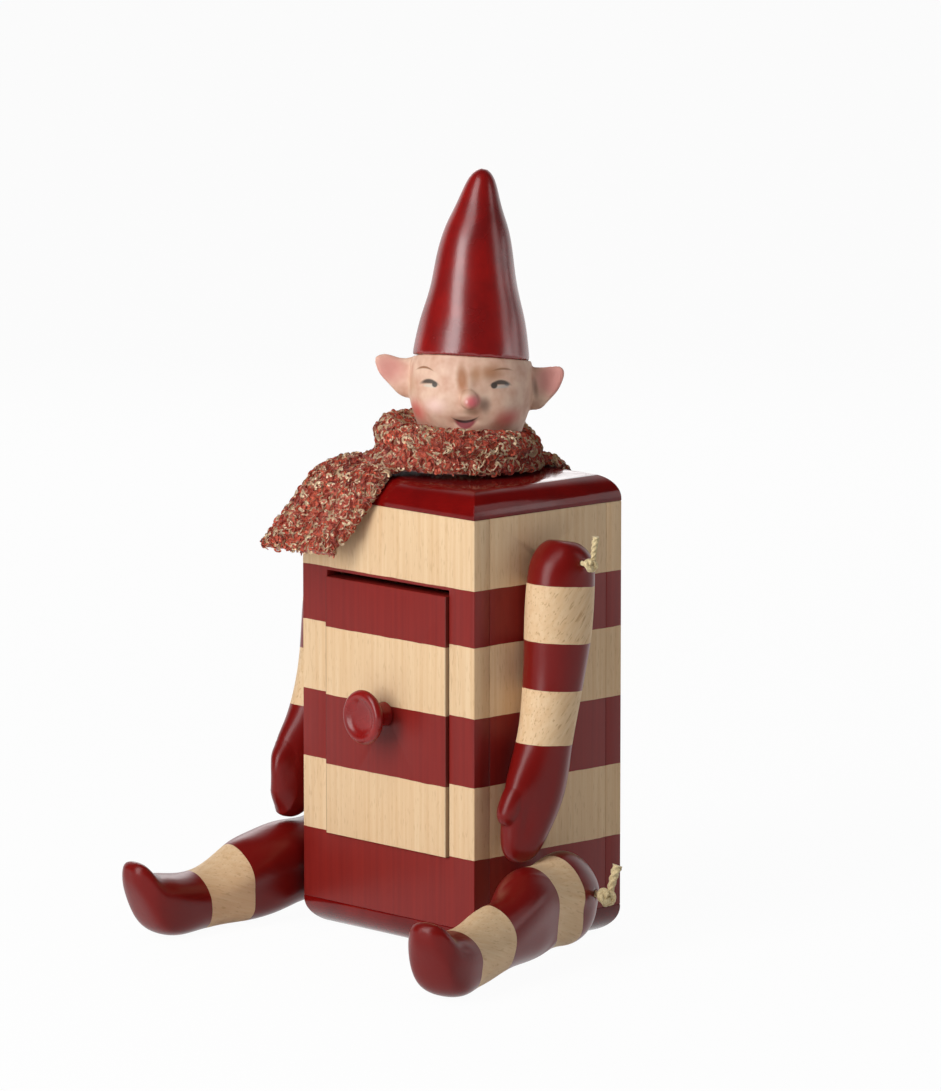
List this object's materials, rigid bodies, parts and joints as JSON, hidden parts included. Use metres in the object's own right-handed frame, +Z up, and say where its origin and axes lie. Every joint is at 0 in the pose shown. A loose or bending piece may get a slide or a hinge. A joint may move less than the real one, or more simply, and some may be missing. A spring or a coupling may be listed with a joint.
{
  "type": "seated pixie box with drawer",
  "caption": "Seated wooden pixie whose striped box body holds a sliding drawer; the head turns on its neck and the arms and legs swing on knotted cords.",
  "frame": {"origin": "middle of the box's flat underside", "axes": "+Z up, the drawer opens towards -Y, +X to the figure's side that carries the limbs named right"},
  "size_m": [0.1928, 0.1736, 0.3032],
  "materials": {
    "striped_beech": "beech with matt red painted bands",
    "red_lacquer": "gloss red lacquer on beech",
    "bare_beech": "sanded bare beech",
    "banded_limb": "satin red lacquer bands on bare beech",
    "skin_paint": "matt skin-coloured paint on turned wood",
    "cotton_cord": "twisted cotton",
    "knitted_scarf": "red and cream looped yarn",
    "zinc_steel": "zinc plated"
  },
  "bodies": {
    "box": {"front_board": "striped_beech", "back_board": "striped_beech", "left_side_board": "striped_beech", "right_side_board": "striped_beech", "top_board": "red_lacquer", "bottom_board": "red_lacquer", "drawer_shelf": "bare_beech", "left_runner": "bare_beech", "right_runner": "bare_beech", "arm_cord": "cotton_cord", "leg_cord": "cotton_cord", "scarf": "knitted_scarf"},
    "head": {"head": "skin_paint", "hat": "red_lacquer", "neck_dowel": "bare_beech", "neck_washer": "zinc_steel", "neck_screw": "zinc_steel"},
    "drawer": {"drawer_front": "striped_beech", "drawer_left_side": "bare_beech", "drawer_right_side": "bare_beech", "drawer_back": "bare_beech", "drawer_bottom": "bare_beech", "drawer_knob": "red_lacquer", "knob_screw": "zinc_steel"},
    "left_arm": {"arm_left": "banded_limb"},
    "right_arm": {"arm_right": "banded_limb"},
    "left_leg": {"leg_left": "banded_limb"},
    "right_leg": {"leg_right": "banded_limb"}
  },
  "joints": [
    {"name": "head_turn", "type": "hinge", "parent": "box", "child": "head", "pos_m": [0, 0.005, 0.1845], "axis": [0, 0, 1], "continuous": true},
    {"name": "drawer_slide", "type": "slide", "parent": "box", "child": "drawer", "axis": [0, -1, 0], "range_m": [0, 0.056]},
    {"name": "left_arm_swing", "type": "hinge", "parent": "box", "child": "left_arm", "pos_m": [0, -0.006, 0.1565], "axis": [1, 0, 0], "range_deg": [-180, 0]},
    {"name": "right_arm_swing", "type": "hinge", "parent": "box", "child": "right_arm", "pos_m": [0, -0.006, 0.1565], "axis": [1, 0, 0], "range_deg": [-180, 0]},
    {"name": "left_leg_swing", "type": "hinge", "parent": "box", "child": "left_leg", "pos_m": [0, -0.001, 0.025], "axis": [1, 0, 0], "range_deg": [0, 90]},
    {"name": "right_leg_swing", "type": "hinge", "parent": "box", "child": "right_leg", "pos_m": [0, -0.001, 0.025], "axis": [1, 0, 0], "range_deg": [0, 90]}
  ]
}
